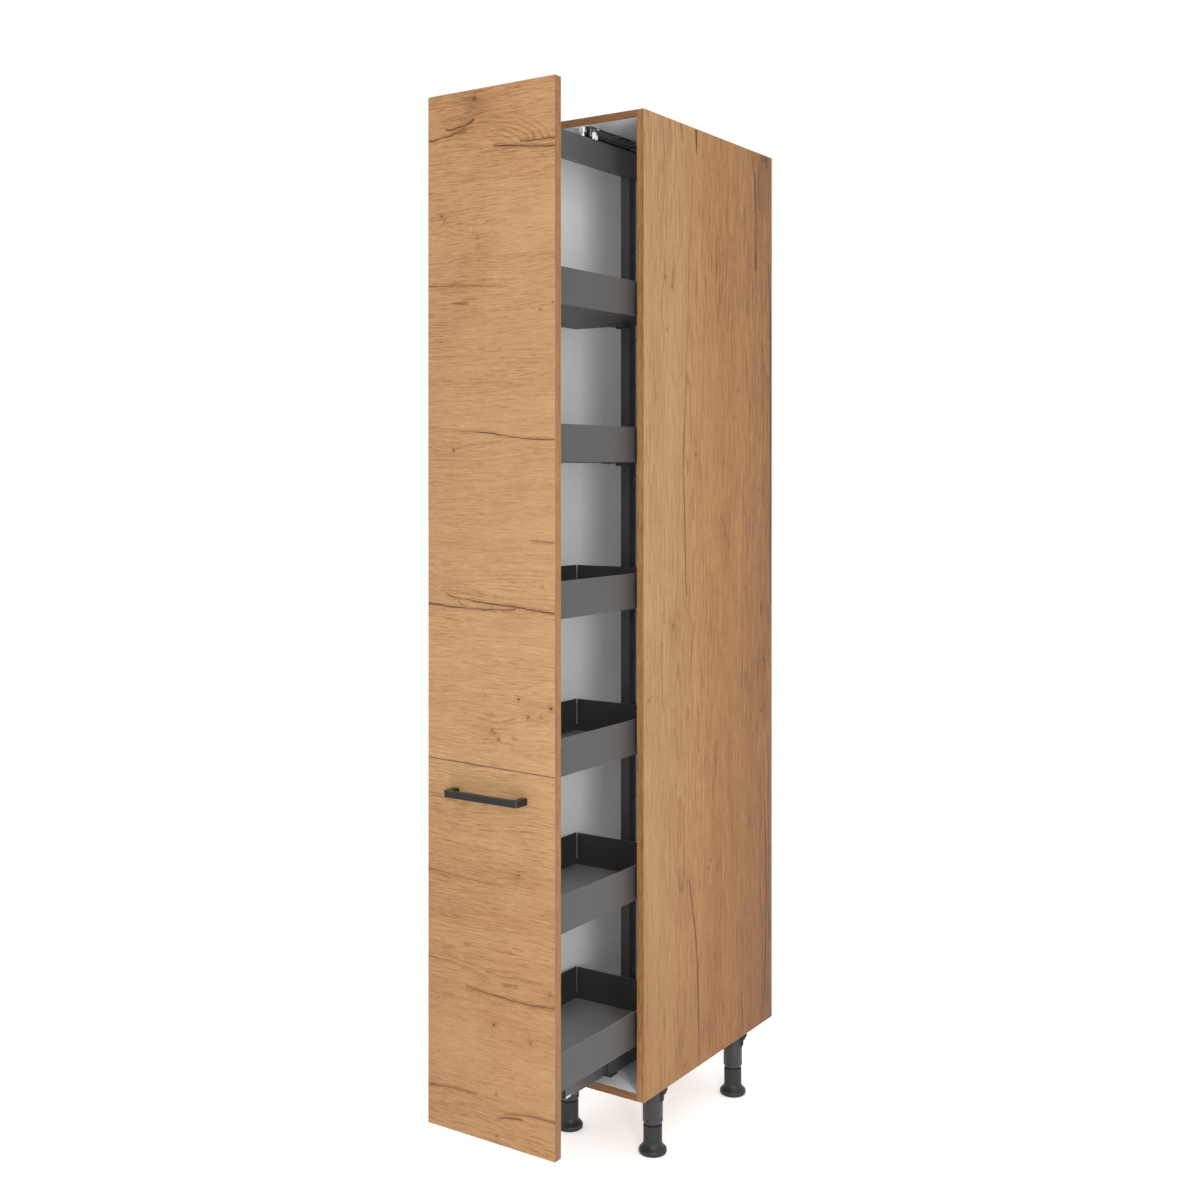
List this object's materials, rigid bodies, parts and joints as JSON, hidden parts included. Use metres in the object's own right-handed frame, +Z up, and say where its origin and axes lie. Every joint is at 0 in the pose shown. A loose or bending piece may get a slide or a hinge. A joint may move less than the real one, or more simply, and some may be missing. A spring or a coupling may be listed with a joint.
{
  "type": "pull-out larder cabinet",
  "caption": "Tall narrow kitchen larder whose front pulls out on a telescopic runner, carrying a hook frame hung with sheet-steel trays.",
  "frame": {"origin": "at floor level, under the middle of the bounding box with the larder drawn out 282 mm", "axes": "+Z up, -Y out of the cabinet through the front, +X to the right of a person facing the front's back, which is the right-hand side seen from the front"},
  "size_m": [0.3, 0.896, 2.118],
  "materials": {
    "oak_front": "horizontal-grain oak decor with cracks and knots, matt",
    "oak_carcass": "vertical-grain oak decor outside, matt white melamine inside",
    "white_back": "matt white coated hardboard",
    "dark_steel": "fine-textured anthracite powder coat",
    "zinc_steel": "zinc plated",
    "black_plastic": "moulded, satin",
    "white_plastic": "moulded",
    "black_handle": "semi-gloss black lacquer",
    "clear_bumper": "soft translucent",
    "beech": "plain turned beech"
  },
  "bodies": {
    "carcass": {"side_panel_left": "oak_carcass", "side_panel_right": "oak_carcass", "top_panel": "oak_carcass", "bottom_panel": "oak_carcass", "back_panel": "white_back", "cam_locks": "zinc_steel", "cam_bolts": "zinc_steel", "wood_dowels": "beech", "wall_brackets": "zinc_steel", "wall_bracket_screws": "zinc_steel", "runner_cabinet_member": "dark_steel", "runner_floor_screws": "zinc_steel", "guide_rail": "zinc_steel", "guide_rail_screws": "zinc_steel", "guide_front_pin": "zinc_steel", "soft_close_housing": "black_plastic", "leg_sockets": "black_plastic", "leg_screws": "zinc_steel"},
    "pullout": {"front_panel": "oak_front", "bar_handle": "black_handle", "handle_screws": "zinc_steel", "front_post": "dark_steel", "rear_post": "dark_steel", "top_beam": "dark_steel", "beam_screws": "zinc_steel", "post_shoes": "black_plastic", "post_shoe_screws": "zinc_steel", "front_brackets": "dark_steel", "front_bracket_screws": "zinc_steel", "door_bumpers": "clear_bumper", "runner_frame_member": "dark_steel", "guide_rear_pin": "zinc_steel", "soft_close_activator": "dark_steel"},
    "runner_middle": {"runner_middle_member": "dark_steel", "runner_stop_clip": "zinc_steel"},
    "outer_cage": {"ball_cage_outer": "black_plastic", "balls_outer": "zinc_steel"},
    "inner_cage": {"ball_cage_inner": "black_plastic", "balls_inner": "zinc_steel"},
    "front_roller": {"guide_front_roller": "black_plastic"},
    "rear_roller": {"guide_rear_roller": "black_plastic"},
    "catch": {"soft_close_catch": "white_plastic"},
    "tray_1": {"tray_1": "dark_steel", "tray_1_hangers": "dark_steel"},
    "tray_2": {"tray_2": "dark_steel", "tray_2_hangers": "dark_steel"},
    "tray_3": {"tray_3": "dark_steel", "tray_3_hangers": "dark_steel"},
    "tray_4": {"tray_4": "dark_steel", "tray_4_hangers": "dark_steel"},
    "tray_5": {"tray_5": "dark_steel", "tray_5_hangers": "dark_steel"},
    "tray_6": {"tray_6": "dark_steel", "tray_6_hangers": "dark_steel"},
    "foot_front_left": {"foot_front_left": "black_plastic"},
    "foot_front_right": {"foot_front_right": "black_plastic"},
    "foot_rear_left": {"foot_rear_left": "black_plastic"},
    "foot_rear_right": {"foot_rear_right": "black_plastic"}
  },
  "joints": [
    {"name": "pullout_slide", "type": "slide", "parent": "carcass", "child": "pullout", "axis": [0, -1, 0], "range_m": [-0.282, 0.198]},
    {"name": "runner_middle_slide", "type": "slide", "parent": "carcass", "child": "runner_middle", "axis": [0, -1, 0], "range_m": [-0.142, 0.1]},
    {"name": "outer_cage_slide", "type": "slide", "parent": "carcass", "child": "outer_cage", "axis": [0, -1, 0], "range_m": [-0.071, 0.05]},
    {"name": "inner_cage_slide", "type": "slide", "parent": "carcass", "child": "inner_cage", "axis": [0, -1, 0], "range_m": [-0.212, 0.149]},
    {"name": "front_roller_spin", "type": "hinge", "parent": "carcass", "child": "front_roller", "pos_m": [0, -0.104, 2.07], "axis": [0, 0, 1], "continuous": true},
    {"name": "rear_roller_spin", "type": "hinge", "parent": "pullout", "child": "rear_roller", "pos_m": [0, 0.116, 2.09], "axis": [0, 0, 1], "continuous": true},
    {"name": "catch_slide", "type": "slide", "parent": "carcass", "child": "catch", "axis": [0, 1, 0], "range_m": [0, 0.04]},
    {"name": "tray_1_lift", "type": "slide", "parent": "pullout", "child": "tray_1", "axis": [0, 0, 1], "range_m": [0, 0.012]},
    {"name": "tray_2_lift", "type": "slide", "parent": "pullout", "child": "tray_2", "axis": [0, 0, 1], "range_m": [0, 0.012]},
    {"name": "tray_3_lift", "type": "slide", "parent": "pullout", "child": "tray_3", "axis": [0, 0, 1], "range_m": [0, 0.012]},
    {"name": "tray_4_lift", "type": "slide", "parent": "pullout", "child": "tray_4", "axis": [0, 0, 1], "range_m": [0, 0.012]},
    {"name": "tray_5_lift", "type": "slide", "parent": "pullout", "child": "tray_5", "axis": [0, 0, 1], "range_m": [0, 0.012]},
    {"name": "tray_6_lift", "type": "slide", "parent": "pullout", "child": "tray_6", "axis": [0, 0, 1], "range_m": [0, 0.012]},
    {"name": "foot_front_left_height", "type": "slide", "parent": "carcass", "child": "foot_front_left", "axis": [0, 0, -1], "range_m": [0, 0.025]},
    {"name": "foot_front_right_height", "type": "slide", "parent": "carcass", "child": "foot_front_right", "axis": [0, 0, -1], "range_m": [0, 0.025]},
    {"name": "foot_rear_left_height", "type": "slide", "parent": "carcass", "child": "foot_rear_left", "axis": [0, 0, -1], "range_m": [0, 0.025]},
    {"name": "foot_rear_right_height", "type": "slide", "parent": "carcass", "child": "foot_rear_right", "axis": [0, 0, -1], "range_m": [0, 0.025]}
  ],
  "couplings": [
    {"joint": "runner_middle_slide", "follows": "pullout_slide", "ratio": 0.5},
    {"joint": "outer_cage_slide", "follows": "pullout_slide", "ratio": 0.25},
    {"joint": "inner_cage_slide", "follows": "pullout_slide", "ratio": 0.75}
  ]
}
